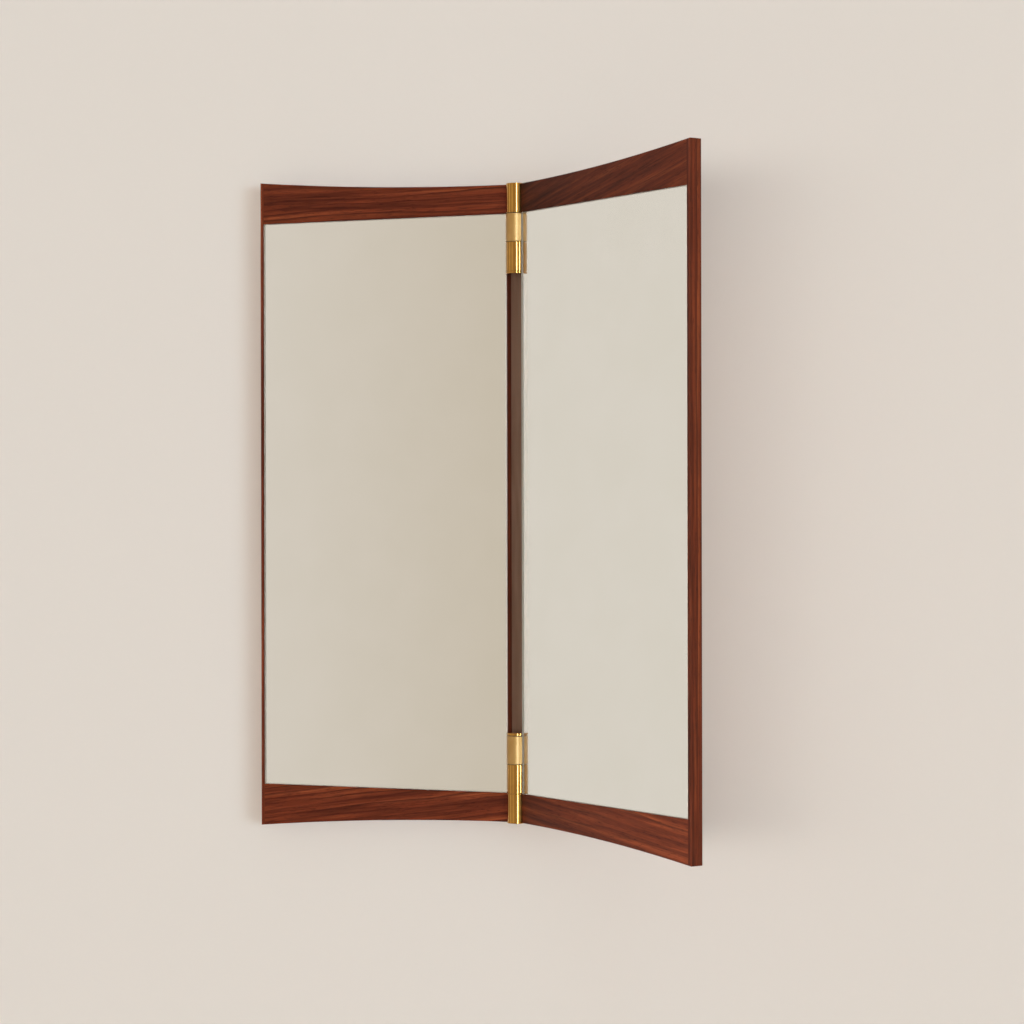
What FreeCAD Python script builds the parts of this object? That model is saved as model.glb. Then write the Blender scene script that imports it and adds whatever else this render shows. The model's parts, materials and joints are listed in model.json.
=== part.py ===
import FreeCAD, Part

import math
import os

# Two-leaf folding wall mirror in walnut with brass barrel hinges. All lengths are in millimetres.
# +Z is up, +X is to the viewer's right and the mirrors face -Y. The origin lies midway between the
# two keyhole hangers, on the back face of the fixed leaf. Each leaf is drawn flat with the hinge axis
# on Z: u runs along +X away from the axis, w runs along +Y from the front face to the back face.
# The fixed leaf is that drawing mirrored to -X, and the wing is that drawing swung forward.

V = FreeCAD.Vector
UP = V(0, 0, 1)
BACKWARD = V(0, 1, 0)  # from a leaf's front face to its back face
SAME = 0.001  # two lengths closer than this are one

# Leaf outline
HINGE_RAIL = 30.5  # height of a rail at the hinge axis
END_RISE = 14.5  # how much taller a rail is at the outer edge
OUTER_REACH = 298.0  # hinge axis to the outer edge
LEAF_THICK = 15.0
ARRIS = 0.8  # easing of the outer edges
FOLD = 35.0  # forward swing of the wing at rest, degrees

# Glass and what holds it
GLASS_HEIGHT = 610.0
GLASS_THICK = 3.0
GLASS_FIT = 0.25  # gap between the glass and the wood around it
TAPE_THICK = 0.8
TAPE_WIDTH = 20.0
TAPE_END = 12.0  # bare stile at each end of a tape strip
PAD_SIDE = 32.0
PAD_ROWS = 3
PAD_COLUMNS = 2

# Walnut frame
LIP = 4.0  # width of the outer stile that shows beside the glass
OUTER_STILE = 34.0  # whole width of the outer stile
HINGE_STILE = 40.0
REBATE = 8.0  # width of the ledge that carries the back panel
PANEL_THICK = 5.0
PANEL_INSET = 1.0  # back panel lies this far inside the back face
PANEL_FIT = 0.2
DOWEL_DIA = 6.0
DOWEL_DEPTH = 18.0  # into each of the two members
DOWEL_FIT = 0.05

# Hinges
BARREL_DIA = 20.0
BARREL_GAP = 0.8  # between the barrel and the hinge edge of a leaf
BARREL_EDGE = 0.5  # rounding of the knuckles' rims
PIN_DIA = 8.0
PIN_FIT = 0.05  # radial clearance of the pin
SLEEVE_PROUD = 0.6  # end sleeve stands this far past the rails
KNUCKLE = 30.6  # pitch of the knuckles along the barrel
CAP_THICK = 2.0
CAP_GROOVE = 0.6  # height of the groove between the cap and its knuckle
CAP_GROOVE_DEPTH = 0.7
CAP_SEAT = 1.2  # how far the pin enters the cap's disc
PIN_IN_SLEEVE = 22.0
WASHER_THICK = 0.5
WASHER_INSET = 0.8  # washer is this much smaller in radius than the barrel
END_PLAY = 0.2  # axial play of the wing's knuckle, above it
NECK_GAP = 0.3  # between a knuckle's neck and the leaf's edge
TANG_THICK = 4.0
TANG_LENGTH = 20.0  # depth of the tang in the wood
TANG_HEIGHT = 20.0
TANG_FIT = 0.1

# Strip that closes the view between the leaves
STRIP_THICK = 1.5
STRIP_LAP = 6.0  # glued on the back of the fixed leaf
STRIP_CLEAR = 1.0  # to the wing's hinge edge when the wing lies flat
STRIP_PAST = 6.0  # how far it runs past the inner ends of the knuckles

# Fasteners
SCREW_DIA = 3.0
SCREW_HEAD = 5.6
SCREW_FIT = 0.1
SCREW_SLOT = 0.8
SCREW_SLOT_DEPTH = 0.7
PANEL_SCREW_BITE = 3.5  # thread in the ledge behind the panel
PANEL_SCREWS = 4  # along each long side
PANEL_SCREW_END = 40.0  # first screw to the panel's end
TANG_SCREW_BITE = 3.0  # thread in the tang
TANG_SCREW_PITCH = 9.0

# Wall side
HANGER_HEIGHT = 190.0  # entry holes above the middle of the leaf
HANGER_THICK = 2.0
HANGER_WIDTH = 18.0
HANGER_LENGTH = 52.0
HANGER_FIT = 0.1
HANGER_ENTRY_DIA = 10.0
HANGER_SLOT = 5.0
HANGER_RISE = 12.0  # entry hole to the seat of the wall screw
HANGER_POCKET = 5.0  # room for the wall screw's head behind the plate
HANGER_POCKET_WIDTH = 12.0
HANGER_SCREW_END = 6.0  # plate's end to its fixing screw
HANGER_SCREW_BITE = 6.0
BUMPER_DIA = 14.0
BUMPER_THICK = 10.0  # the leaf stands this far off the wall
BUMPER_EDGE = 0.6
BUMPER_INSET = 24.0  # bumper axis to the leaf's outer edge and to its hinge edge
BUMPER_RISE = 14.0  # bumper axis to the inner edge of a rail

# Worked out from the driving dimensions
HALF_GLASS = GLASS_HEIGHT / 2
HALF_HINGE = HALF_GLASS + HINGE_RAIL  # half the leaf's height at the hinge axis
BARREL_R = BARREL_DIA / 2
HINGE_GAP = BARREL_R + BARREL_GAP  # hinge axis to the leaf's hinge edge
STILE_FACE = GLASS_THICK + TAPE_THICK
PANEL_BACK = LEAF_THICK - PANEL_INSET
PANEL_FRONT = PANEL_BACK - PANEL_THICK
LIP_U = OUTER_REACH - LIP
HINGE_STILE_U = HINGE_GAP + HINGE_STILE
OUTER_STILE_U = OUTER_REACH - OUTER_STILE
PANEL_U0 = HINGE_STILE_U - REBATE
PANEL_U1 = OUTER_STILE_U + REBATE
PIN_R = PIN_DIA / 2
TANG_BACK = BARREL_R
TANG_FRONT = TANG_BACK - TANG_THICK
NECK_END = HINGE_GAP - NECK_GAP
TANG_END = HINGE_GAP + TANG_LENGTH
SCREW_R = SCREW_DIA / 2
HEAD_R = SCREW_HEAD / 2
HEAD_DEPTH = HEAD_R - SCREW_R
INNER_HANGER_U = (HINGE_GAP + PANEL_U0) / 2
OUTER_HANGER_U = (PANEL_U1 + OUTER_REACH) / 2
MIDDLE_U = (INNER_HANGER_U + OUTER_HANGER_U) / 2
AXIS = V(MIDDLE_U, -LEAF_THICK, -HANGER_HEIGHT)  # middle of the hinge axis


def box(u0, u1, w0, w1, z0, z1):
    """Box between two corners."""
    return Part.makeBox(u1 - u0, w1 - w0, z1 - z0, V(u0, w0, z0))


def rod(radius, start, length, direction):
    """Round bar from start along direction."""
    return Part.makeCylinder(radius, length, start, direction)


def upside_down(shape):
    """The same shape reflected in the level plane through the leaf's middle."""
    return shape.mirror(V(0, 0, 0), UP)


def both_ends(shape):
    """A shape and its upside-down twin."""
    return [shape, upside_down(shape)]


def cut_all(shape, tools):
    """The shape less every tool, kept as one solid."""
    return shape.cut(Part.makeCompound(tools)).Solids[0]


def half_height(u):
    """Half the leaf's height at a distance from the hinge axis, on one arc about a point above the axis."""
    radius = (OUTER_REACH**2 + END_RISE**2) / (2 * END_RISE)
    return HALF_HINGE + radius - math.sqrt(radius**2 - u**2)


def end_point(u, side=1):
    """Point of the concave end above (1) or below (-1) the middle."""
    return V(u, 0, side * half_height(u))


def end_arc(u0, u1, side=1):
    """Stretch of the concave end from u0 to u1."""
    return Part.Arc(end_point(u0, side), end_point((u0 + u1) / 2, side), end_point(u1, side)).toShape()


def line(start, end):
    """Straight edge."""
    return Part.LineSegment(start, end).toShape()


def outside_edges(shape):
    """Edges of the front and back faces along the concave ends and the outer upright."""
    found = []
    for edge in shape.Edges:
        middle = edge.valueAt((edge.FirstParameter + edge.LastParameter) / 2)
        on_face = min(abs(middle.y), abs(middle.y - LEAF_THICK)) < SAME
        outside = isinstance(edge.Curve, Part.Circle) or abs(middle.x - OUTER_REACH) < SAME
        if on_face and outside:
            found.append(edge)
    return found


def eased_board(edges):
    """Board of the leaf's thickness from its outline, with eased outside edges."""
    board = Part.Face(Part.Wire(edges)).extrude(BACKWARD * LEAF_THICK)
    return board.makeChamfer(ARRIS, outside_edges(board))


def rail_blank():
    """Top rail: straight along the glass, concave on its outer side."""
    inner_corner = V(HINGE_GAP, 0, HALF_GLASS)
    outer_corner = V(LIP_U, 0, HALF_GLASS)
    return eased_board([
        line(end_point(HINGE_GAP), inner_corner),
        line(inner_corner, outer_corner),
        line(outer_corner, end_point(LIP_U)),
        end_arc(LIP_U, HINGE_GAP),
    ])


def lip_blank():
    """Strip of the outer stile that shows at the front, over the full height."""
    return eased_board([
        line(end_point(LIP_U), end_point(LIP_U, -1)),
        end_arc(LIP_U, OUTER_REACH, -1),
        line(end_point(OUTER_REACH, -1), end_point(OUTER_REACH)),
        end_arc(OUTER_REACH, LIP_U),
    ])


def screw_body(tip, length, fit=0.0):
    """Shank and countersunk head of a screw driven from the back, or its hole with a fit."""
    shank = rod(SCREW_R + fit, tip, length, BACKWARD)
    head_start = tip + BACKWARD * (length - HEAD_DEPTH)
    head = Part.makeCone(SCREW_R + fit, HEAD_R + fit, HEAD_DEPTH, head_start, BACKWARD)
    return shank.fuse(head)


def screw(tip, length):
    """Slotted countersunk screw."""
    slot = Part.makeBox(SCREW_HEAD, SCREW_SLOT_DEPTH, SCREW_SLOT)
    slot.translate(tip + V(-HEAD_R, length - SCREW_SLOT_DEPTH, -SCREW_SLOT / 2))
    return screw_body(tip, length).cut(slot).Solids[0]


def screw_holes(tips, length):
    """Clearance holes for a row of screws."""
    return [screw_body(tip, length, SCREW_FIT) for tip in tips]


def panel_screw_tips():
    """Where the back panel's screws end, in the ledges of the two stiles."""
    reach = HALF_GLASS - PANEL_SCREW_END
    tips = []
    for u in (PANEL_U0 + REBATE / 2, PANEL_U1 - REBATE / 2):
        for row in range(PANEL_SCREWS):
            z = -reach + 2 * reach * row / (PANEL_SCREWS - 1)
            tips.append(V(u, PANEL_FRONT - PANEL_SCREW_BITE, z))
    return tips


PANEL_SCREW_LENGTH = PANEL_SCREW_BITE + PANEL_THICK


def tang_screw_tips(middle_z):
    """Where the two screws of one tang end."""
    middle_u = HINGE_GAP + TANG_LENGTH / 2
    half = TANG_SCREW_PITCH / 2
    return [V(middle_u + side * half, TANG_BACK - TANG_SCREW_BITE, middle_z) for side in (-1, 1)]


TANG_SCREW_LENGTH = TANG_SCREW_BITE + LEAF_THICK - TANG_BACK

# Heights on the barrel, from the inner end of a hinge to its outer end, above the leaf's middle
SLEEVE_TOP = HALF_HINGE + SLEEVE_PROUD
SEAM_OUTER = HALF_GLASS
SEAM_INNER = SEAM_OUTER - KNUCKLE
KNUCKLE_END = SEAM_INNER - KNUCKLE
CAP_TOP = KNUCKLE_END - CAP_GROOVE
PIN_START = CAP_TOP - CAP_SEAT
PIN_END = SEAM_OUTER + PIN_IN_SLEEVE
SLEEVE_MIDDLE = (SEAM_OUTER + HALF_HINGE) / 2
OUTER_MIDDLE = (SEAM_INNER + SEAM_OUTER) / 2
INNER_MIDDLE = (KNUCKLE_END + SEAM_INNER) / 2
# In both hinges the wing's knuckle rests on a fixed one below it
FIXED_TANGS = [SLEEVE_MIDDLE, INNER_MIDDLE, -OUTER_MIDDLE, -SLEEVE_MIDDLE]
WING_TANGS = [OUTER_MIDDLE, -INNER_MIDDLE]


def tang(middle_z, fit=0.0):
    """Flat tongue of a knuckle, or its mortise with a fit."""
    half = TANG_HEIGHT / 2 + fit
    return box(0, TANG_END + fit, TANG_FRONT - fit, TANG_BACK + fit, middle_z - half, middle_z + half)


def hinge_cuts(tangs):
    """Mortises and screw holes for the tangs in a leaf's hinge edge."""
    cuts = []
    for middle_z in tangs:
        cuts.append(tang(middle_z, TANG_FIT))
        cuts += screw_holes(tang_screw_tips(middle_z), TANG_SCREW_LENGTH)
    return cuts


def dowels(fit=0.0):
    """The dowels between the stiles and the rails, or their holes with a fit."""
    w = (STILE_FACE + LEAF_THICK) / 2
    made = []
    for u in ((TANG_END + PANEL_U0) / 2, (PANEL_U1 + LIP_U) / 2):
        start = V(u, w, HALF_GLASS - DOWEL_DEPTH - fit)
        made += both_ends(rod(DOWEL_DIA / 2 + fit, start, 2 * (DOWEL_DEPTH + fit), UP))
    return made


def rails(tangs):
    """Top and bottom rails, between the hinge edge and the outer stile's lip."""
    cuts = hinge_cuts(tangs) + dowels(DOWEL_FIT)
    return [cut_all(blank, cuts) for blank in both_ends(rail_blank())]


def stile_cuts():
    """Room in the stiles for the back panel, its screws and the dowels."""
    ledge = box(PANEL_U0, PANEL_U1, PANEL_FRONT, LEAF_THICK, -HALF_GLASS, HALF_GLASS)
    return [ledge] + screw_holes(panel_screw_tips(), PANEL_SCREW_LENGTH) + dowels(DOWEL_FIT)


def outer_stile(cuts):
    """Outer stile: the full-height lip, and a web behind the glass between the rails."""
    web = box(OUTER_STILE_U, LIP_U, STILE_FACE, LEAF_THICK, -HALF_GLASS, HALF_GLASS)
    return cut_all(lip_blank().fuse(web).removeSplitter(), stile_cuts() + cuts)


def hinge_stile(tangs, cuts):
    """Stile behind the glass at the hinge edge."""
    web = box(HINGE_GAP, HINGE_STILE_U, STILE_FACE, LEAF_THICK, -HALF_GLASS, HALF_GLASS)
    return cut_all(web, stile_cuts() + hinge_cuts(tangs) + cuts)


def glass():
    """Mirror glass, flush with the wood and open at the hinge edge."""
    half = HALF_GLASS - GLASS_FIT
    return box(HINGE_GAP, LIP_U - GLASS_FIT, 0, GLASS_THICK, -half, half)


def tape_strips():
    """Foam tape between the glass and the two stiles."""
    half = HALF_GLASS - TAPE_END
    middles = ((HINGE_GAP + HINGE_STILE_U) / 2, (OUTER_STILE_U + LIP_U) / 2)
    half_width = TAPE_WIDTH / 2
    return [box(u - half_width, u + half_width, GLASS_THICK, STILE_FACE, -half, half) for u in middles]


def glass_pads():
    """Foam pads that back the glass up from the panel."""
    made = []
    half = PAD_SIDE / 2
    for column in range(PAD_COLUMNS):
        u = HINGE_STILE_U + (OUTER_STILE_U - HINGE_STILE_U) * (column + 0.5) / PAD_COLUMNS
        for row in range(PAD_ROWS):
            z = -HALF_GLASS + GLASS_HEIGHT * (row + 0.5) / PAD_ROWS
            made.append(box(u - half, u + half, GLASS_THICK, PANEL_FRONT, z - half, z + half))
    return made


def back_panel():
    """Plywood panel on the ledges of the stiles."""
    half = HALF_GLASS - PANEL_FIT
    board = box(PANEL_U0 + PANEL_FIT, PANEL_U1 - PANEL_FIT, PANEL_FRONT, PANEL_BACK, -half, half)
    return cut_all(board, screw_holes(panel_screw_tips(), PANEL_SCREW_LENGTH))


def bumpers():
    """Rubber bumpers on the backs of the rails."""
    start = V(0, LEAF_THICK, HALF_GLASS + BUMPER_RISE)
    made = []
    for u in (HINGE_GAP + BUMPER_INSET, OUTER_REACH - BUMPER_INSET):
        disc = rod(BUMPER_DIA / 2, start + V(u, 0, 0), BUMPER_THICK, BACKWARD)
        far_rim = max(disc.Edges, key=lambda edge: edge.CenterOfMass.y)
        made += both_ends(disc.makeFillet(BUMPER_EDGE, [far_rim]))
    return made


def hanger_screw_tips(u):
    """Where the two fixing screws of one keyhole plate end."""
    offset = HANGER_LENGTH / 2 - HANGER_SCREW_END
    middle = V(u, LEAF_THICK - HANGER_THICK - HANGER_SCREW_BITE, HANGER_HEIGHT + HANGER_RISE / 2)
    return [middle + V(0, 0, side * offset) for side in (-1, 1)]


HANGER_SCREW_LENGTH = HANGER_SCREW_BITE + HANGER_THICK


def hanger_outline(u, fit=0.0):
    """Plate blank of a hanger, or its recess with a fit."""
    half_width = HANGER_WIDTH / 2 + fit
    half_length = HANGER_LENGTH / 2 + fit
    z = HANGER_HEIGHT + HANGER_RISE / 2
    front = LEAF_THICK - HANGER_THICK
    return box(u - half_width, u + half_width, front, LEAF_THICK, z - half_length, z + half_length)


def hanger_plate(u):
    """Keyhole plate: a round entry with a slot that rises to the seat of the wall screw."""
    depth = HANGER_THICK
    start = V(u, LEAF_THICK - depth, HANGER_HEIGHT)
    half = HANGER_SLOT / 2
    entry = rod(HANGER_ENTRY_DIA / 2, start, depth, BACKWARD)
    seat = rod(half, start + V(0, 0, HANGER_RISE), depth, BACKWARD)
    seat_z = HANGER_HEIGHT + HANGER_RISE
    slot = box(u - half, u + half, LEAF_THICK - depth, LEAF_THICK, HANGER_HEIGHT, seat_z)
    holes = screw_holes(hanger_screw_tips(u), HANGER_SCREW_LENGTH)
    return cut_all(hanger_outline(u), [entry.fuse([seat, slot])] + holes)


def hanger_cuts(u):
    """Recess, head room and screw holes for one keyhole plate in its stile."""
    half = HANGER_POCKET_WIDTH / 2
    floor = LEAF_THICK - HANGER_THICK - HANGER_POCKET
    top = HANGER_HEIGHT + HANGER_RISE + half
    pocket = box(u - half, u + half, floor, LEAF_THICK, HANGER_HEIGHT - half, top)
    holes = screw_holes(hanger_screw_tips(u), HANGER_SCREW_LENGTH)
    return [hanger_outline(u, HANGER_FIT), pocket] + holes


def upright(radius, z0, z1):
    """Round bar on the hinge axis."""
    return rod(radius, V(0, 0, z0), z1 - z0, UP)


def eased_disc(z0, z1):
    """Round of the barrel's diameter with eased rims."""
    body = upright(BARREL_R, z0, z1)
    rims = [edge for edge in body.Edges if len(edge.Vertexes) == 1]
    return body.makeFillet(BARREL_EDGE, rims)


def neck(z0, z1):
    """Web from the barrel to the leaf's edge, tangent to the barrel at the front and at the back."""
    lean = math.acos(BARREL_R / NECK_END)
    touch = V(BARREL_R * math.cos(lean), -BARREL_R * math.sin(lean), z0)
    axis = V(0, 0, z0)
    points = [axis, touch, V(NECK_END, 0, z0), V(NECK_END, TANG_BACK, z0), V(0, TANG_BACK, z0), axis]
    return Part.Face(Part.makePolygon(points)).extrude(UP * (z1 - z0))


def knuckle(z0, z1, bore_end, tang_z):
    """One knuckle: barrel, neck and tang in one brass piece, drawn for a leaf on the +X side."""
    web = neck(z0 + BARREL_EDGE, z1 - BARREL_EDGE)
    holes = [rod(SCREW_R, tip, TANG_SCREW_BITE, BACKWARD) for tip in tang_screw_tips(tang_z)]
    bore = upright(PIN_R + PIN_FIT, z0, bore_end)
    return cut_all(eased_disc(z0, z1).fuse([web, tang(tang_z)]), [bore] + holes)


def end_cap():
    """Grooved cap at the inner end of the top barrel, with a blind seat for the pin."""
    boss = upright(BARREL_R - CAP_GROOVE_DEPTH, CAP_TOP, KNUCKLE_END)
    seat = upright(PIN_R + PIN_FIT, PIN_START, KNUCKLE_END)
    return eased_disc(CAP_TOP - CAP_THICK, CAP_TOP).fuse(boss).cut(seat).Solids[0]


def washer(z0):
    """Plain washer on the pin."""
    z1 = z0 + WASHER_THICK
    return upright(BARREL_R - WASHER_INSET, z0, z1).cut(upright(PIN_R + PIN_FIT, z0, z1))


def hinge_pin():
    """Pin of the top hinge, from its cap into its end sleeve."""
    return upright(PIN_R, PIN_START, PIN_END)


def gap_strip():
    """Thin strip behind the barrel that hides the wall between the leaves."""
    half = KNUCKLE_END + STRIP_PAST
    back = LEAF_THICK + STRIP_THICK
    return box(STRIP_CLEAR - HINGE_GAP, HINGE_GAP + STRIP_LAP, LEAF_THICK, back, -half, half)


def on_fixed_leaf(shape):
    """From the flat drawing to the fixed leaf, on the left of the axis."""
    placed = shape.mirror(V(0, 0, 0), V(1, 0, 0))
    placed.translate(AXIS)
    return placed


def on_wing(shape):
    """From the flat drawing to the wing at rest, swung forward about the axis."""
    placed = shape.copy()
    placed.rotate(V(0, 0, 0), UP, -FOLD)
    placed.translate(AXIS)
    return placed


def save(name, shapes, place):
    """Write one node: a single solid, or a group of separate solids."""
    placed = [place(shape) for shape in shapes]
    node = placed[0] if len(placed) == 1 else Part.makeCompound(placed)
    node.exportStep(f"parts/{name}.step")
    print(name, len(node.Solids), "solids,", round(sum(s.Volume for s in node.Solids)), "mm3")


def save_leaf(name, place, tangs, hinge_side_cuts, outer_side_cuts):
    """Write every piece of one leaf."""
    top, bottom = rails(tangs)
    save(f"{name}_top_rail", [top], place)
    save(f"{name}_bottom_rail", [bottom], place)
    save(f"{name}_outer_stile", [outer_stile(outer_side_cuts)], place)
    save(f"{name}_hinge_stile", [hinge_stile(tangs, hinge_side_cuts)], place)
    save(f"{name}_mirror_glass", [glass()], place)
    save(f"{name}_mirror_tape", tape_strips(), place)
    save(f"{name}_glass_pads", glass_pads(), place)
    save(f"{name}_back_panel", [back_panel()], place)
    save(f"{name}_frame_dowels", dowels(), place)
    save(f"{name}_bumpers", bumpers(), place)
    save(f"{name}_panel_screws", [screw(tip, PANEL_SCREW_LENGTH) for tip in panel_screw_tips()], place)
    tips = [tip for tang_z in tangs for tip in tang_screw_tips(tang_z)]
    save(f"{name}_tang_screws", [screw(tip, TANG_SCREW_LENGTH) for tip in tips], place)


def save_hinges():
    """Write the pieces of both hinges."""
    play = WASHER_THICK + END_PLAY
    top_wing = knuckle(SEAM_INNER + WASHER_THICK, SEAM_OUTER - play, SEAM_OUTER, OUTER_MIDDLE)
    bottom_wing = knuckle(-SEAM_INNER + WASHER_THICK, -KNUCKLE_END - play, -KNUCKLE_END, -INNER_MIDDLE)
    sleeve = knuckle(SEAM_OUTER, SLEEVE_TOP, PIN_END, SLEEVE_MIDDLE)
    top_fixed = knuckle(KNUCKLE_END, SEAM_INNER, SEAM_INNER, INNER_MIDDLE)
    bottom_fixed = knuckle(-SEAM_OUTER, -SEAM_INNER, -SEAM_INNER, -OUTER_MIDDLE)
    save("top_wing_knuckle", [top_wing], on_wing)
    save("bottom_wing_knuckle", [bottom_wing], on_wing)
    save("top_end_sleeve", [sleeve], on_fixed_leaf)
    save("bottom_end_sleeve", [upside_down(sleeve)], on_fixed_leaf)
    save("top_fixed_knuckle", [top_fixed], on_fixed_leaf)
    save("bottom_fixed_knuckle", [bottom_fixed], on_fixed_leaf)
    save("top_hinge_pin", [hinge_pin()], on_fixed_leaf)
    save("bottom_hinge_pin", [upside_down(hinge_pin())], on_fixed_leaf)
    save("top_end_cap", [end_cap()], on_fixed_leaf)
    save("bottom_end_cap", [upside_down(end_cap())], on_fixed_leaf)
    top_washers = [washer(SEAM_INNER), washer(SEAM_OUTER - WASHER_THICK)]
    bottom_washers = [washer(-SEAM_INNER), washer(-KNUCKLE_END - WASHER_THICK)]
    save("top_thrust_washers", top_washers, on_fixed_leaf)
    save("bottom_thrust_washers", bottom_washers, on_fixed_leaf)


def save_hangers():
    """Write the keyhole plates and their screws."""
    save("inner_hanger_plate", [hanger_plate(INNER_HANGER_U)], on_fixed_leaf)
    save("outer_hanger_plate", [hanger_plate(OUTER_HANGER_U)], on_fixed_leaf)
    tips = hanger_screw_tips(INNER_HANGER_U) + hanger_screw_tips(OUTER_HANGER_U)
    save("hanger_screws", [screw(tip, HANGER_SCREW_LENGTH) for tip in tips], on_fixed_leaf)


os.makedirs("parts", exist_ok=True)
save_leaf("fixed", on_fixed_leaf, FIXED_TANGS, hanger_cuts(INNER_HANGER_U), hanger_cuts(OUTER_HANGER_U))
save_leaf("wing", on_wing, WING_TANGS, [], [])
save_hinges()
save_hangers()
save("gap_strip", [gap_strip()], on_fixed_leaf)
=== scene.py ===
# %% [markdown]
# # A folding wall mirror
# The object is a wall mirror of two equal leaves in oiled walnut. The left leaf hangs flat on the
# wall, and the right leaf, the wing, swings forward on two brass barrel hinges. The sizes and the
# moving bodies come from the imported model, so this lesson adds only what the eye needs: glass,
# finishes, light and a camera.

import json
import math

import bmesh
import bpy
from mathutils import Matrix, Vector


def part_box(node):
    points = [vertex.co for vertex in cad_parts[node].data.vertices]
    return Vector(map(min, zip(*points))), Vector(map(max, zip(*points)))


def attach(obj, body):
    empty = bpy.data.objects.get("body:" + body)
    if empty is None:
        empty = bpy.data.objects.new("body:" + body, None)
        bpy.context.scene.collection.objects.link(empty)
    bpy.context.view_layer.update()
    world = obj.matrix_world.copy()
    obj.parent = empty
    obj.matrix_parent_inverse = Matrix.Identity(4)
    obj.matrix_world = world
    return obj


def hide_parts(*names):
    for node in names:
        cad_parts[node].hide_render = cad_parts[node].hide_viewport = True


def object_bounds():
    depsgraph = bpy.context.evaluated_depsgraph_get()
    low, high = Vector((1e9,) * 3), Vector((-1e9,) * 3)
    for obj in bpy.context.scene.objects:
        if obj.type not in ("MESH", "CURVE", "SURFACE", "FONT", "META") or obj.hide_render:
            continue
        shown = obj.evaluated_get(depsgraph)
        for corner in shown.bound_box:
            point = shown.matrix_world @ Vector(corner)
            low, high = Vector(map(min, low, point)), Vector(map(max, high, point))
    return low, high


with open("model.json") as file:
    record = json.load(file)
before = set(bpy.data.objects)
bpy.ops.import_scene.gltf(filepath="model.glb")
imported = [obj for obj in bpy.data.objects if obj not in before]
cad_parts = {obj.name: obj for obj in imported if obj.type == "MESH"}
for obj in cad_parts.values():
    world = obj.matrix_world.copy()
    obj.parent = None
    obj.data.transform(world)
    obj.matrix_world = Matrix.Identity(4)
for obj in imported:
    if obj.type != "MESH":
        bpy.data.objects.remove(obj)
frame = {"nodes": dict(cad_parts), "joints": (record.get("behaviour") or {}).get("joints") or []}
cad_low, cad_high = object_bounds()
nodes = frame["nodes"]
print("solids' box, mm:", [round(1000 * size) for size in cad_high - cad_low])
print("nodes:", len(nodes))

# %% [markdown]
# The hinge is the one joint, and its record holds two useful facts: the place of the axis, and the
# low limit, which is where the wing lies flat on the wall. The angle between that limit and rest is
# the fold. Each leaf then has its own plain axes: u along the leaf from the hinge, w from its front
# to its back, z up from its middle. A matrix per leaf turns those into the shared frame, so that
# one drawing serves both leaves.

# %% Measure the hinge and the two leaves
MM = 0.001
hinge = frame["joints"][0]
HINGE = Vector(hinge["pos_m"])
FOLD = math.radians(-hinge["range_deg"][0])
LEAF_REACH = HINGE.x - cad_low.x
FIXED_LEAF = Matrix.Translation(HINGE) @ Matrix.Scale(-1, 4, (1, 0, 0))
WING_LEAF = Matrix.Translation(HINGE) @ Matrix.Rotation(-FOLD, 4, "Z")
LEAVES = {"fixed": ("fixed_leaf", FIXED_LEAF), "wing": ("wing", WING_LEAF)}
print("hinge axis, mm:", [round(c / MM, 1) for c in HINGE])
print("fold, degrees:", round(math.degrees(FOLD), 1), "reach, mm:", round(LEAF_REACH / MM, 1))

# %% [markdown]
# Colours are written as hex values, as a paint chart gives them. Shaders work with linear light
# instead, so one function converts them. A second small function adds a node: its settings, and for
# each input either a value or the output that feeds it. With these two, each finish below reads
# like a recipe. Oil, lacquer, rubber and plastics all bend light about as much, so they share one
# index of refraction.

# %% Tools for the finishes
RESIN_IOR = 1.5


def paint(chart):
    """Linear colour from an sRGB hex value."""
    parts = [int(chart[i:i + 2], 16) / 255 for i in (0, 2, 4)]
    return [c / 12.92 if c <= 0.04045 else ((c + 0.055) / 1.055) ** 2.4 for c in parts] + [1.0]


def grey(level):
    """A ramp stop that is only a number."""
    return [level, level, level, 1.0]


def add(tree, kind, sockets=None, stops=None, **settings):
    """Add a node with its settings, its input values or links, and a colour ramp's stops."""
    node = tree.nodes.new("ShaderNode" + kind)
    for name, value in settings.items():
        setattr(node, name, value)
    for name, value in (sockets or {}).items():
        if isinstance(value, bpy.types.NodeSocket):
            tree.links.new(value, node.inputs[name])
        else:
            node.inputs[name].default_value = value
    if stops:
        ramp = node.color_ramp.elements
        for position, colour in stops[1:-1]:
            ramp.new(position).color = colour
        ramp[0].position, ramp[0].color = stops[0]
        ramp[-1].position, ramp[-1].color = stops[-1]
    return node


def start_finish(name):
    """An empty node tree, and the place of each point on the piece in metres."""
    finish = bpy.data.materials.new(name)
    finish.use_nodes = True
    finish.node_tree.nodes.clear()
    place = add(finish.node_tree, "TexCoord").outputs["Object"]
    return finish, finish.node_tree, place


print("middle grey in linear light:", round(paint("808080")[0], 3))

# %% [markdown]
# ## Oiled walnut
# The boards are sawn from reddish walnut, planed and oiled. The eye sees four scales: soft bands of
# tone, growth rings that run nearly along the board as dark lines some millimetres apart, long thin
# fibres, and short dark pores. The rings come first. They are the fraction of a distance that a
# slow noise bends, so that each line darkens slowly and ends sharply, as a season of growth does,
# and another noise lets some lines fade. A wave texture would be quicker, but its lines are even.

# %% Growth rings
BAND_LENGTH, BAND_WIDTH = 240 * MM, 7 * MM
BEND_LENGTH, BEND_WIDTH = 190 * MM, 42 * MM
RING_LEAN = 0.6


def stretched(tree, place, length, width, **sockets):
    """A noise drawn out along the grain, as a value around one half."""
    scale = (1 / length, 1 / width, 1 / width)
    drawn = add(tree, "Mapping", {"Vector": place, "Scale": scale}).outputs[0]
    return add(tree, "TexNoise", {"Vector": drawn, "Scale": 1.0, **sockets}).outputs["Fac"]


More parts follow.
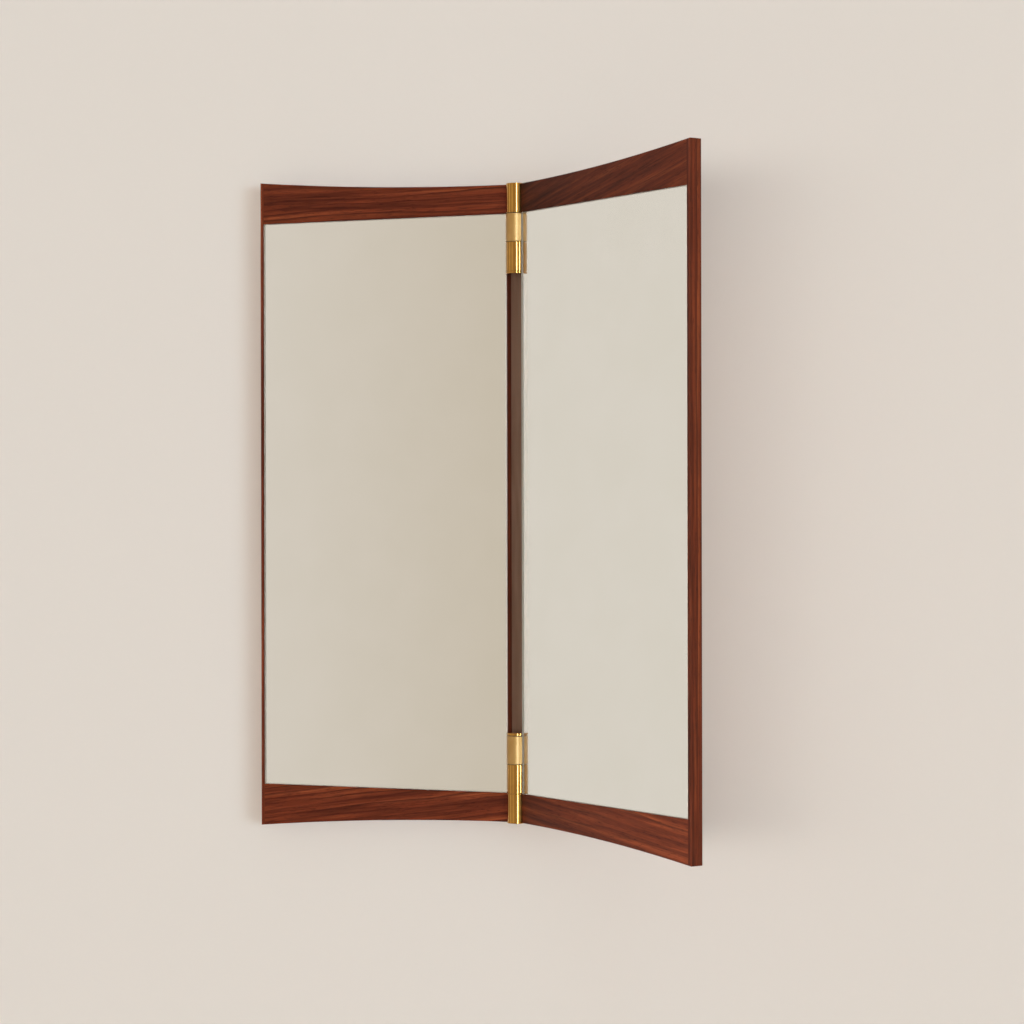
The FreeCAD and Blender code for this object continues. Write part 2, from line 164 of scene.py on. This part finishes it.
def late_wood(tree, board, spacing, wander, lines):
    """Where the dark lines lie: their spacing and wander in millimetres, and their strength."""
    bend = stretched(tree, board, BEND_LENGTH, BEND_WIDTH, Detail=2.0, Roughness=0.4)
    across = add(tree, "SeparateXYZ", {"Vector": board})
    depth = add(tree, "Math", {0: across.outputs["Y"], 1: RING_LEAN, 2: across.outputs["Z"]},
                operation="MULTIPLY_ADD")
    bent = add(tree, "Math", {0: bend, 1: wander * MM, 2: depth.outputs[0]},
               operation="MULTIPLY_ADD")
    rings = add(tree, "Math", {0: bent.outputs[0], 1: 1 / (spacing * MM)}, operation="MULTIPLY")
    season = add(tree, "Math", {0: rings.outputs[0]}, operation="FRACT")
    line = add(tree, "ValToRGB", {"Fac": season.outputs[0]}, stops=[
        (0.0, grey(0.3)), (0.1, grey(0.0)), (0.5, grey(0.1)), (0.86, grey(0.7)),
        (0.95, grey(1.0)), (1.0, grey(0.3))])
    fading = stretched(tree, board, BAND_LENGTH, BAND_WIDTH, Detail=1.0)
    clear = add(tree, "MapRange", {0: fading, 1: 0.36, 2: 0.62, 3: 0.3 * lines, 4: lines})
    late = add(tree, "Math", {0: line.outputs[0], 1: clear.outputs[0]}, operation="MULTIPLY")
    return late.outputs[0]


print("bands of tone, mm:", round(BAND_LENGTH / MM), "x", round(BAND_WIDTH / MM))

# %% [markdown]
# The rest of the wood is laid over the rings: bands, fibres and pores. Each board's tone is also
# scaled from one factor at the hinge to another at its outer end. Oil leaves a low sheen that is
# duller over the pores. Real pores are 0.2 mm wide and wouldn't show here, so they are drawn about
# 0.9 mm wide.

# %% Walnut
FIBRE_LENGTH, FIBRE_WIDTH = 45 * MM, 1.5 * MM
PORE_LENGTH, PORE_WIDTH, PORE_DEPTH = 12 * MM, 0.9 * MM, 0.12 * MM
DARK_BAND, MIDDLE_BAND, PALE_BAND = paint("50200F"), paint("702F17"), paint("8E4424")
RING_TONE, PORE_TONE = paint("38150A"), paint("2C110A")


def walnut(name, turn, slope, spacing, wander, lines, shade, sheen):
    """Walnut on a leaf turned about the hinge: slope of the grain in degrees, the rings as
    late_wood has them, shade at the hinge and at the outer end, and sheen of the oil."""
    finish, tree, place = start_finish(name)
    leaf = add(tree, "Mapping", {"Vector": place, "Rotation": (0, 0, turn)}).outputs[0]
    grain = (0, math.radians(slope), 0)
    board = add(tree, "Mapping", {"Vector": leaf, "Rotation": grain}).outputs[0]

    band = stretched(tree, board, BAND_LENGTH, BAND_WIDTH, Detail=3.0, Distortion=0.3)
    ground = add(tree, "ValToRGB", {"Fac": band}, stops=[
        (0.3, DARK_BAND), (0.5, MIDDLE_BAND), (0.7, PALE_BAND)])
    late = late_wood(tree, board, spacing, wander, lines)
    ringed = add(tree, "Mix", {0: late, 6: ground.outputs[0], 7: RING_TONE}, data_type="RGBA")

    fibre = stretched(tree, board, FIBRE_LENGTH, FIBRE_WIDTH, Detail=3.0, Roughness=0.6)
    streak = add(tree, "MapRange", {0: fibre, 1: 0.3, 2: 0.7, 3: 0.64, 4: 1.3})
    to_hinge = (-HINGE.x, -HINGE.y, 0)
    from_hinge = add(tree, "Mapping", {"Vector": place, "Location": to_hinge, "Scale": (1, 1, 0)})
    reach = add(tree, "VectorMath", {0: from_hinge.outputs[0]}, operation="LENGTH")
    tone = add(tree, "MapRange", {
        0: reach.outputs["Value"], 2: LEAF_REACH, 3: shade[0], 4: shade[1]})
    shaded = add(tree, "Math", {0: streak.outputs[0], 1: tone.outputs[0]}, operation="MULTIPLY")
    fibred = add(tree, "Mix", {0: 1.0, 6: ringed.outputs[2], 7: shaded.outputs[0]},
                 data_type="RGBA", blend_type="MULTIPLY")

    dots = stretched(tree, board, PORE_LENGTH, PORE_WIDTH, Detail=2.0, Roughness=0.7)
    pores = add(tree, "ValToRGB", {"Fac": dots}, stops=[(0.33, grey(0.55)), (0.43, grey(0.0))])
    colour = add(tree, "Mix", {0: pores.outputs[0], 6: fibred.outputs[2], 7: PORE_TONE},
                 data_type="RGBA")
    gloss = add(tree, "MapRange", {0: pores.outputs[0], 3: 0.46, 4: 0.64})
    bump = add(tree, "Bump", {
        "Height": pores.outputs[0], "Distance": PORE_DEPTH, "Strength": 0.4}, invert=True)
    shader = add(tree, "BsdfPrincipled", {
        "Base Color": colour.outputs[2], "Roughness": gloss.outputs[0], "Normal": bump.outputs[0],
        "IOR": RESIN_IOR, "Specular IOR Level": sheen})
    add(tree, "OutputMaterial", {"Surface": shader.outputs[0]})
    return finish


print("pores, mm:", round(PORE_LENGTH / MM), "x", round(PORE_WIDTH / MM, 1))

# %% [markdown]
# Each board is sawn its own way. The grain of the rails runs along them at a slope of some degrees,
# which shows most on the wing, and the stiles stand upright with finer, straighter rings. The
# wing's top rail is dark near the hinge, and its bottom rail pale at the outer end.

# %% Boards
UPRIGHT = 90
RAIL_BEND, STILE_BEND = 22, 3
FLAT_SHEEN = 0.08
WALNUT = {
    "fixed_top_rail": walnut("oiled_walnut_fixed_top", 0, 0.5, 6.5, RAIL_BEND, 0.95,
                             (1.0, 0.88), FLAT_SHEEN),
    "fixed_bottom_rail": walnut("oiled_walnut_fixed_bottom", 0, 7.5, 6.5, RAIL_BEND, 0.9,
                                (1.0, 1.0), FLAT_SHEEN),
    "fixed_outer_stile": walnut("oiled_walnut_fixed_outer", 0, UPRIGHT, 4.0, STILE_BEND, 0.9,
                                (0.95, 0.95), FLAT_SHEEN),
    "fixed_hinge_stile": walnut("oiled_walnut_fixed_inner", 0, UPRIGHT, 4.0, STILE_BEND, 0.9,
                                (0.95, 0.95), FLAT_SHEEN),
    "wing_top_rail": walnut("oiled_walnut_wing_top", FOLD, 13, 11.0, RAIL_BEND, 0.45,
                            (0.36, 1.02), 0.16),
    "wing_bottom_rail": walnut("oiled_walnut_wing_bottom", FOLD, -5, 8.0, RAIL_BEND, 0.65,
                               (0.84, 1.5), 0.2),
    "wing_outer_stile": walnut("oiled_walnut_wing_outer", FOLD, UPRIGHT, 3.2, STILE_BEND, 0.9,
                               (0.88, 0.88), 0.15),
    "wing_hinge_stile": walnut("oiled_walnut_wing_inner", FOLD, UPRIGHT, 4.0, STILE_BEND, 0.9,
                               (0.95, 0.95), 0.15),
}
print("walnut boards:", len(WALNUT))

# %% [markdown]
# ## Turned brass
# The knuckles are turned from brass bar, polished and lacquered, and those of the wing are brushed
# duller. Turning leaves fine rings around the barrel, which give a highlight its grain. The rings
# are about 0.1 mm apart, too fine for the render, so they are drawn at 0.7 mm. A broad weak noise
# stands for the handling marks that make brass look solid. The clear lacquer lays a white gleam
# over the gold one, so the highlights are paler than the metal.

# %% Brass
TURNING, TURNING_DEPTH = 0.7 * MM, 0.001 * MM
HANDLING = 14 * MM


def brass(name, light, deep, low, high, lacquer):
    """Turned brass between two tones and two roughnesses, with the roughness of its lacquer."""
    finish, tree, place = start_finish(name)
    scale = (0.02 / TURNING, 0.02 / TURNING, 1 / TURNING)
    along = add(tree, "Mapping", {"Vector": place, "Scale": scale})
    lathe = add(tree, "TexNoise", {"Vector": along.outputs[0], "Scale": 1.0, "Detail": 2.0})
    marks = add(tree, "TexNoise", {"Vector": place, "Scale": 1 / HANDLING, "Detail": 3.0})
    tone = add(tree, "ValToRGB", {"Fac": marks.outputs["Fac"]},
               stops=[(0.35, paint(deep)), (0.65, paint(light))])
    rough = add(tree, "MapRange", {0: lathe.outputs["Fac"], 1: 0.3, 2: 0.7, 3: low, 4: high})
    bump = add(tree, "Bump", {
        "Height": lathe.outputs["Fac"], "Distance": TURNING_DEPTH, "Strength": 0.6})
    shader = add(tree, "BsdfPrincipled", {
        "Base Color": tone.outputs[0], "Metallic": 1.0, "Roughness": rough.outputs[0],
        "Normal": bump.outputs[0], "Coat Weight": 1.0, "Coat Roughness": lacquer})
    add(tree, "OutputMaterial", {"Surface": shader.outputs[0]})
    return finish


polished_brass = brass("polished_turned_brass", "D09A3C", "C58E32", 0.035, 0.05, 0.03)
satin_brass = brass("brushed_turned_brass", "DCB06A", "D2A55C", 0.46, 0.50, 0.3)
screw_brass = brass("brass_screw", "C9A25C", "A98244", 0.26, 0.40, 0.3)
print("brass finishes:", polished_brass.name, satin_brass.name, screw_brass.name)

# %% [markdown]
# ## Mirror glass
# A mirror is clear float glass with silver on its back, so what it shows lies one glass thickness
# behind the front. Float glass is faintly green, which shows only at its edges. Two pieces are
# made: the clear sheet, and the thin silver coat just inside its back. A metal painted on the front
# face would be quicker, but then the edges look dead. The sheet's roughness has the slightest
# wiped-clean smear, and the coat is a shade weaker in soft patches. The rim is ground matt, and
# draws the fine pale line between the mirror and the wood. The marks of the stone are under 0.1 mm
# wide, so they are drawn at 0.8 mm.

# %% Glass and silver finishes
SMEAR = 60 * MM
STONE = 0.8 * MM
GLASS_IOR = 1.52


def float_glass():
    """Clear glass with a faint green body."""
    finish, tree, place = start_finish("float_glass")
    smear = add(tree, "TexNoise", {"Vector": place, "Scale": 1 / SMEAR, "Detail": 3.0})
    rough = add(tree, "MapRange", {0: smear.outputs["Fac"], 1: 0.4, 2: 0.8, 3: 0.0, 4: 0.012})
    shader = add(tree, "BsdfPrincipled", {
        "Base Color": paint("FFFFFF"), "Roughness": rough.outputs[0], "IOR": GLASS_IOR,
        "Transmission Weight": 1.0})
    body = add(tree, "VolumeAbsorption", {"Color": paint("BFE0CC"), "Density": 6.0})
    add(tree, "OutputMaterial", {"Surface": shader.outputs[0], "Volume": body.outputs[0]})
    return finish


def silver_coat():
    """Chemically laid silver: a bright, nearly neutral metal."""
    finish, tree, place = start_finish("mirror_silver")
    patches = add(tree, "TexNoise", {"Vector": place, "Scale": 1 / SMEAR, "Detail": 2.0})
    tone = add(tree, "ValToRGB", {"Fac": patches.outputs["Fac"]},
               stops=[(0.3, paint("F7F6F1")), (0.7, paint("F9F8F4"))])
    shader = add(tree, "BsdfPrincipled", {
        "Base Color": tone.outputs[0], "Metallic": 1.0, "Roughness": 0.0})
    add(tree, "OutputMaterial", {"Surface": shader.outputs[0]})
    return finish


def ground_rim():
    """The stoned edge of the sheet, pale and matt."""
    finish, tree, place = start_finish("ground_glass_rim")
    stone = add(tree, "TexNoise", {"Vector": place, "Scale": 1 / STONE, "Detail": 3.0})
    tone = add(tree, "ValToRGB", {"Fac": stone.outputs["Fac"]},
               stops=[(0.3, paint("F8EAD8")), (0.7, paint("FFF3E4"))])
    rough = add(tree, "MapRange", {0: stone.outputs["Fac"], 1: 0.3, 2: 0.7, 3: 0.5, 4: 0.75})
    shader = add(tree, "BsdfPrincipled", {
        "Base Color": tone.outputs[0], "Roughness": rough.outputs[0], "IOR": GLASS_IOR})
    add(tree, "OutputMaterial", {"Surface": shader.outputs[0]})
    return finish


GLASS, SILVER, RIM = float_glass(), silver_coat(), ground_rim()
print("mirror finishes:", GLASS.name, SILVER.name, RIM.name)

# %% [markdown]
# The sheets are boxes whose front edges are seamed: a stone takes the sharp edge off at 45 degrees.
# The rim and the seam take the ground finish. The size comes from the fixed leaf's CAD glass, whose
# box lies square to the frame, and the same drawing is placed on both leaves.

# %% Mirror sheets
SEAM = 0.2 * MM
COAT_THICK, COAT_BEDDED = 0.05 * MM, 0.01 * MM
BARE = 0.05 * MM
glass_low, glass_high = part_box("fixed_mirror_glass")
U0, U1 = HINGE.x - glass_high.x, HINGE.x - glass_low.x
Z0, Z1 = glass_low.z - HINGE.z, glass_high.z - HINGE.z
GLASS_THICK = glass_high.y - glass_low.y


def sheet(name, leaf, u, w, z, seam, finishes):
    """A sheet between two values of u, w and z on one leaf, with its front edges seamed."""
    body, to_frame = LEAVES[leaf]
    mesh = bmesh.new()
    bmesh.ops.create_cube(mesh, size=1.0)
    for vert in mesh.verts:
        vert.co = [low + (c + 0.5) * (high - low) for c, (low, high) in zip(vert.co, (u, w, z))]
    front = [edge for edge in mesh.edges if all(vert.co.y == w[0] for vert in edge.verts)]
    if seam:
        bmesh.ops.bevel(mesh, geom=front, offset=seam, segments=1, affect="EDGES")
    mesh.normal_update()
    for face in mesh.faces:
        face.material_index = 0 if abs(face.normal.y) > 0.9 else len(finishes) - 1
    bmesh.ops.transform(mesh, matrix=to_frame, verts=mesh.verts)
    bmesh.ops.recalc_face_normals(mesh, faces=mesh.faces)
    data = bpy.data.meshes.new(name)
    mesh.to_mesh(data)
    mesh.free()
    for finish in finishes:
        data.materials.append(finish)
    piece = bpy.data.objects.new(name, data)
    bpy.context.scene.collection.objects.link(piece)
    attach(piece, body)
    return piece


clear_w = (0, GLASS_THICK - COAT_THICK + COAT_BEDDED)
coat_u, coat_z = (U0 + BARE, U1 - BARE), (Z0 + BARE, Z1 - BARE)
coat_w = (GLASS_THICK - COAT_THICK, GLASS_THICK)
for leaf in LEAVES:
    clear = sheet(f"{leaf}_clear_glass", leaf, (U0, U1), clear_w, (Z0, Z1), SEAM, [GLASS, RIM])
    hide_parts(f"{leaf}_mirror_glass")
    sheet(f"{leaf}_silver_coat", leaf, coat_u, coat_w, coat_z, 0, [SILVER])
print("glass, mm:", [round(size / MM, 1) for size in (U1 - U0, Z1 - Z0, GLASS_THICK)])

# %% [markdown]
# ## The back and the small parts
# Behind the glass a birch plywood panel closes each leaf, a brown strip stands behind the gap,
# rubber bumpers stand on the wall, and steel keyhole plates carry the weight. They are seen from
# the back and when the wing folds over, so each gets the surface its material has: the long pale
# figure of rotary-cut birch, the fine bloom on rubber, foam and nylon. The strip's dark brown is
# painted shade: it stands for the deep shade in the narrow gap between the leaves. The washers'
# bronze brown is partly painted shade, the dark line between the knuckles.

# %% Plywood, beech, rubber, foam and nylon
FIGURE_LENGTH, FIGURE_WIDTH = 90 * MM, 9 * MM
BLOOM = 1.2 * MM


def plain_wood(name, light, dark):
    """Wood without rings, its figure running up the leaf."""
    finish, tree, place = start_finish(name)
    scale = (1 / FIGURE_WIDTH, 1 / FIGURE_WIDTH, 1 / FIGURE_LENGTH)
    long_way = add(tree, "Mapping", {"Vector": place, "Scale": scale})
    figure = add(tree, "TexNoise", {
        "Vector": long_way.outputs[0], "Scale": 1.0, "Detail": 5.0, "Distortion": 0.6})
    tone = add(tree, "ValToRGB", {"Fac": figure.outputs["Fac"]},
               stops=[(0.32, paint(dark)), (0.68, paint(light))])
    bump = add(tree, "Bump", {
        "Height": figure.outputs["Fac"], "Distance": PORE_DEPTH, "Strength": 0.2})
    shader = add(tree, "BsdfPrincipled", {
        "Base Color": tone.outputs[0], "Roughness": 0.6, "Normal": bump.outputs[0],
        "IOR": RESIN_IOR})
    add(tree, "OutputMaterial", {"Surface": shader.outputs[0]})
    return finish


def soft_finish(name, light, dark, roughness):
    """Rubber, foam or nylon with a fine bloom."""
    finish, tree, place = start_finish(name)
    bloom = add(tree, "TexNoise", {"Vector": place, "Scale": 1 / BLOOM, "Detail": 3.0})
    tone = add(tree, "ValToRGB", {"Fac": bloom.outputs["Fac"]},
               stops=[(0.3, paint(dark)), (0.7, paint(light))])
    bump = add(tree, "Bump", {
        "Height": bloom.outputs["Fac"], "Distance": PORE_DEPTH, "Strength": 0.3})
    shader = add(tree, "BsdfPrincipled", {
        "Base Color": tone.outputs[0], "Roughness": roughness, "Normal": bump.outputs[0],
        "IOR": RESIN_IOR})
    add(tree, "OutputMaterial", {"Surface": shader.outputs[0]})
    return finish


plywood = plain_wood("lacquered_birch_plywood", "EFE3D8", "E6D8C8")
# The strip's brown is painted shade, the deep shade of the narrow gap between the leaves.
gap_shade_strip = plain_wood("painted_gap_shade_strip", "84664F", "76573F")
beech = plain_wood("beech_dowel", "D9B88A", "C59C69")
rubber = soft_finish("moulded_rubber", "2E2B29", "1D1B1A", 0.7)
foam = soft_finish("foam_tape", "D8D4CC", "BDB8AE", 0.9)
# The washers are nylon, and their bronze brown is painted shade: the dark line of the gap between
# the knuckles.
nylon_and_gap_shade = soft_finish("nylon_washer_gap_shade", "7A6236", "66502A", 0.5)
print("woods:", plywood.name, gap_shade_strip.name, beech.name)
print("soft finishes:", rubber.name, foam.name, nylon_and_gap_shade.name)

# %% [markdown]
# The keyhole plates and their screws are zinc plated, which leaves cloudy blue-grey patches some
# millimetres wide. The hinge pins are ground steel, warmer and smoother. One recipe serves both,
# with the patches from a soft cell pattern.

# %% Zinc and steel
SPANGLE = 5 * MM


def cloudy_steel(name, light, dark, low, high):
    """Plated or ground steel with cloudy patches between two tones and two roughnesses."""
    finish, tree, place = start_finish(name)
    cloud = add(tree, "TexVoronoi", {"Vector": place, "Scale": 1 / SPANGLE}, feature="SMOOTH_F1")
    patches = cloud.outputs["Distance"]
    tone = add(tree, "ValToRGB", {"Fac": patches},
               stops=[(0.1, paint(dark)), (0.8, paint(light))])
    rough = add(tree, "MapRange", {0: patches, 3: low, 4: high})
    shader = add(tree, "BsdfPrincipled", {
        "Base Color": tone.outputs[0], "Metallic": 1.0, "Roughness": rough.outputs[0]})
    add(tree, "OutputMaterial", {"Surface": shader.outputs[0]})
    return finish


zinc = cloudy_steel("zinc_plated_steel", "C6CBD0", "AEB3BA", 0.28, 0.42)
steel = cloudy_steel("ground_steel", "B9B6B1", "A5A29D", 0.2, 0.3)
print("steel finishes:", zinc.name, steel.name)

# %% [markdown]
# Every solid that shows as it is keeps its shape and takes one of these finishes. The names of the
# nodes tell which.

# %% Dress the solids
DRESS = {
    **WALNUT, "gap_strip": gap_shade_strip,
    "inner_hanger_plate": zinc, "outer_hanger_plate": zinc, "hanger_screws": zinc,
}
for end in ("top", "bottom"):
    DRESS.update({
        f"{end}_end_sleeve": polished_brass, f"{end}_fixed_knuckle": polished_brass,
        f"{end}_end_cap": polished_brass, f"{end}_wing_knuckle": satin_brass,
        f"{end}_hinge_pin": steel, f"{end}_thrust_washers": nylon_and_gap_shade})
for leaf in LEAVES:
    DRESS.update({
        f"{leaf}_mirror_glass": GLASS, f"{leaf}_back_panel": plywood,
        f"{leaf}_frame_dowels": beech, f"{leaf}_bumpers": rubber, f"{leaf}_mirror_tape": foam,
        f"{leaf}_glass_pads": foam, f"{leaf}_panel_screws": screw_brass,
        f"{leaf}_tang_screws": screw_brass})
for name, finish in DRESS.items():
    nodes[name].material_slots[0].material = finish
print("dressed", len(DRESS), "of", len(nodes), "nodes")

# %% [markdown]
# ## Wall and floor
# The mirror hangs on a plain warm wall, which stands where the bumpers end. A wall would hide the
# object from behind, so its material is clear for a ray that meets its back, and lets shadow rays
# through, which only a lamp behind it uses. On the left it ends where the wing's mirror can't show
# its edge. The floor lies far below the view.

# %% Wall and floor
WALL_Y = cad_high.y
WALL_LEFT, WALL_RIGHT, WALL_HEIGHT = 3.2, 4.5, 6.0
FLOOR_DEPTH, FLOOR_DROP = 9.0, 2.0
PLASTER = 7 * MM


def stage_sheet(name, corners, finish):
    """One flat stage sheet from its four corners."""
    data = bpy.data.meshes.new(name)
    data.from_pydata(corners, [], [(0, 1, 2, 3)])
    data.materials.append(finish)
    flat = bpy.data.objects.new(name, data)
    bpy.context.scene.collection.objects.link(flat)
    return flat


def matt_paint(name, colour, see_through):
    """Matt wall paint with a faint roller texture, clear from behind if asked."""
    finish, tree, place = start_finish(name)
    roller = add(tree, "TexNoise", {"Vector": place, "Scale": 1 / PLASTER, "Detail": 2.0})
    bump = add(tree, "Bump", {
        "Height": roller.outputs["Fac"], "Distance": PORE_DEPTH, "Strength": 0.25})
    shader = add(tree, "BsdfPrincipled", {
        "Base Color": paint(colour), "Roughness": 0.95, "Specular IOR Level": 0.1,
        "Normal": bump.outputs[0]})
    surface = shader
    if see_through:
        behind = add(tree, "NewGeometry").outputs["Backfacing"]
        shadow = add(tree, "LightPath").outputs["Is Shadow Ray"]
        either = add(tree, "Math", {0: behind, 1: shadow}, operation="MAXIMUM")
        clear = add(tree, "BsdfTransparent")
        surface = add(tree, "MixShader", {
            0: either.outputs[0], 1: shader.outputs[0], 2: clear.outputs[0]})
    add(tree, "OutputMaterial", {"Surface": surface.outputs[0]})
    return finish


floor_z = HINGE.z - FLOOR_DROP
left, right = HINGE.x - WALL_LEFT, HINGE.x + WALL_RIGHT
top, front = floor_z + WALL_HEIGHT, WALL_Y - FLOOR_DEPTH
wall_foot = [(left, WALL_Y, floor_z), (right, WALL_Y, floor_z)]
wall = stage_sheet("wall", wall_foot + [(right, WALL_Y, top), (left, WALL_Y, top)],
                   matt_paint("warm_wall_paint", "DDD5CB", True))
floor = stage_sheet("floor", [(left, front, floor_z), (right, front, floor_z)] + wall_foot[::-1],
                    matt_paint("pale_floor_paint", "E2DBD2", False))
print("wall faces", [round(c) for c in wall.data.polygons[0].normal])
print("floor at", round(floor_z, 2), "m, faces", [round(c) for c in floor.data.polygons[0].normal])

# %% [markdown]
# ## Light
# The room is drawn as maps over the azimuth, which is measured from straight ahead of the wall and
# grows to the right. Matt surfaces are lit by a level band of light from the front, strongest a
# little to the right. Mirrors, glass and brass see the beige room itself: its paler and darker
# stretches draw the stripes on the barrels, and the bright one is a window on the right.

# %% Maps of the room
room = bpy.data.worlds.new("studio_room")
bpy.context.scene.world = room
room.use_nodes = True
tree = room.node_tree
tree.nodes.clear()
direction = add(tree, "SeparateXYZ", {"Vector": add(tree, "TexCoord").outputs["Generated"]})
forward = add(tree, "Math", {0: direction.outputs["Y"], 1: -1.0}, operation="MULTIPLY")
azimuth = add(tree, "Math", {0: direction.outputs["X"], 1: forward.outputs[0]},
              operation="ARCTAN2")
turn = add(tree, "MapRange", {0: azimuth.outputs[0], 1: -math.pi / 2, 2: math.pi / 2})


def around(stops):
    """Colours by azimuth in degrees, from -90 at the left to 90 at the right."""
    shares = [((degrees + 90) / 180, colour) for degrees, colour in stops]
    return add(tree, "ValToRGB", {"Fac": turn.outputs[0]}, stops=shares).outputs[0]


PALE, DARK, BEIGE, WINDOW = paint("DCD4C8"), paint("A4947B"), paint("C2B7AA"), paint("DDEEFF")
BRIGHT = paint("FBD4D0")
lit = around([
    (-90, grey(0.0)), (-47, grey(0.0)), (-43, grey(0.13)), (-24, grey(0.13)), (-20, grey(0.36)),
    (7, grey(0.34)), (9, grey(0.49)), (15, grey(0.49)), (16, BRIGHT), (26, BRIGHT),
    (27, grey(0.0)), (90, grey(0.0))])
seen = around([
    (-90, paint("DED7CE")), (-85, paint("DED7CE")), (-79, DARK), (-67, DARK), (-59, PALE),
    (-46, PALE), (-40, paint("A29279")), (-30, paint("A29279")), (-27.5, paint("DDD5CC")),
    (-21, paint("CEC3B4")), (-9, paint("D3C8B8")), (-2, paint("A89880")), (9, paint("A89880")),
    (15, BEIGE), (31, BEIGE), (32.5, WINDOW), (39.5, WINDOW), (41, paint("D6CBBA")),
    (75, paint("C2B5A2")), (90, paint("D8CFC2"))])
glare = around([
    (-90, grey(0.0)), (32, grey(0.0)), (32.5, grey(1.0)), (39.5, grey(1.0)), (40, grey(0.0)),
    (90, grey(0.0))])
print("nodes in the maps:", len(tree.nodes))

# %% [markdown]
# The maps are joined by what kind of ray asks. A ray from a matt surface finds the band of light
# and an even dim light from everywhere, a ray from a shiny one finds the room, and the camera finds
# a plain backdrop.

# %% Room
BAND_LEVEL = 12.7
BAND_EDGE, BAND_END = 0.11, 0.13
WINDOW_GLARE = 4.0
height = add(tree, "Math", {0: direction.outputs["Z"]}, operation="ABSOLUTE")
level = add(tree, "ValToRGB", {"Fac": height.outputs[0]}, stops=[
    (BAND_EDGE, grey(1.0)), (BAND_END, grey(0.0)), (1.0, grey(0.0))])
strength = add(tree, "Math", {0: level.outputs[0], 1: BAND_LEVEL}, operation="MULTIPLY")
band = add(tree, "Background", {"Color": lit, "Strength": strength.outputs[0]})
ambient = add(tree, "Background", {"Color": paint("A5A39A"), "Strength": 1.0})
matt_light = add(tree, "AddShader", {0: band.outputs[0], 1: ambient.outputs[0]})
brightness = add(tree, "Math", {0: glare, 1: WINDOW_GLARE, 2: 1.0}, operation="MULTIPLY_ADD")
view = add(tree, "Background", {"Color": seen, "Strength": brightness.outputs[0]})
path = add(tree, "LightPath")
either = add(tree, "MixShader", {
    0: path.outputs["Is Diffuse Ray"], 1: view.outputs[0], 2: matt_light.outputs[0]})
backdrop = add(tree, "Background", {"Color": paint("DDD5CB"), "Strength": 1.0})
shown = add(tree, "MixShader", {
    0: path.outputs["Is Camera Ray"], 1: either.outputs[0], 2: backdrop.outputs[0]})
add(tree, "OutputWorld", {"Surface": shown.outputs[0]})
print("level of the band of light:", BAND_LEVEL)

# %% [markdown]
# Three lamps join the room. The window is a sun lamp with a broad disc: it lights the whole wall
# evenly and throws the soft shadow to the left of the mirror. Its pane is a tall bright rectangle
# that only shiny surfaces see, and it draws the long white highlight on each barrel. A lamp behind
# the wall shines through it on to the back, for views from there, and its light goes no further.

# %% Lamps
WINDOW_AZIMUTH, WINDOW_RISE, WINDOW_LEVEL, WINDOW_DISC = 53, 1, 1.46, 20
PANE_AZIMUTH, PANE_DISTANCE, PANE_GLARE = 36.5, 6.0, 11.0
PANE_WIDTH, PANE_HEIGHT = 0.55, 4.4
REAR_AZIMUTH, REAR_RISE, REAR_LEVEL, REAR_DISC = 180, 30, 1.6, 12


def lamp(name, kind, azimuth, rise, energy, colour):
    """A lamp that shines at the hinge from an azimuth and a rise above level, both in degrees."""
    light = bpy.data.lights.new(name, kind)
    light.energy, light.color = energy, paint(colour)[:3]
    holder = bpy.data.objects.new(name, light)
    bpy.context.scene.collection.objects.link(holder)
    holder.rotation_euler = (math.radians(90 - rise), 0, math.radians(azimuth))
    away = holder.rotation_euler.to_matrix() @ Vector((0, 0, 1))
    holder.location = HINGE + PANE_DISTANCE * away
    holder.visible_camera = False
    return holder


window = lamp("window", "SUN", WINDOW_AZIMUTH, WINDOW_RISE, WINDOW_LEVEL, "CBE8FC")
window.data.angle = math.radians(WINDOW_DISC)
window.visible_glossy = window.visible_transmission = False
pane_power = 4 * PANE_WIDTH * PANE_HEIGHT * PANE_GLARE
pane = lamp("window_pane", "AREA", PANE_AZIMUTH, 0, pane_power, "DDEEFF")
pane.data.shape, pane.data.size, pane.data.size_y = "RECTANGLE", PANE_WIDTH, PANE_HEIGHT
pane.visible_diffuse = False
rear = lamp("behind_wall", "SUN", REAR_AZIMUTH, REAR_RISE, REAR_LEVEL, "FFFFFF")
rear.data.angle = math.radians(REAR_DISC)
rear.data.cycles.max_bounces = 0
print("lamps:", [light.name for light in bpy.data.lights])

# %% [markdown]
# ## Camera
# The camera stands level, a little below the middle of the mirror and round to the right, so that
# the wing is seen steeply and the fixed leaf is nearly open. The lens is long, which keeps the
# uprights upright. Its aim is set from the hinge, because that is the line the photograph is
# composed around, and it leans by a tenth of a degree.

# %% Camera
IMAGE = 1024
FOCAL_PIXELS = 2685.7
HINGE_COLUMN = 515.9
CAMERA_FROM_HINGE = Vector((1.008, -2.638, -0.0092))
ROLL = math.radians(0.11)
camera_data = bpy.data.cameras.new("camera")
camera_data.lens = FOCAL_PIXELS / IMAGE * camera_data.sensor_width
camera = bpy.data.objects.new("camera", camera_data)
bpy.context.scene.collection.objects.link(camera)
camera.location = HINGE + CAMERA_FROM_HINGE
at_hinge = math.atan2(CAMERA_FROM_HINGE.x, -CAMERA_FROM_HINGE.y)
aim = at_hinge + math.atan((HINGE_COLUMN - IMAGE / 2) / FOCAL_PIXELS)
camera.rotation_euler = (math.pi / 2, ROLL, aim)
bpy.context.scene.camera = camera
bpy.context.scene.view_settings.view_transform = "Standard"
print("camera azimuth, degrees:", round(math.degrees(aim), 2))
print("lens, mm:", round(camera_data.lens, 1))
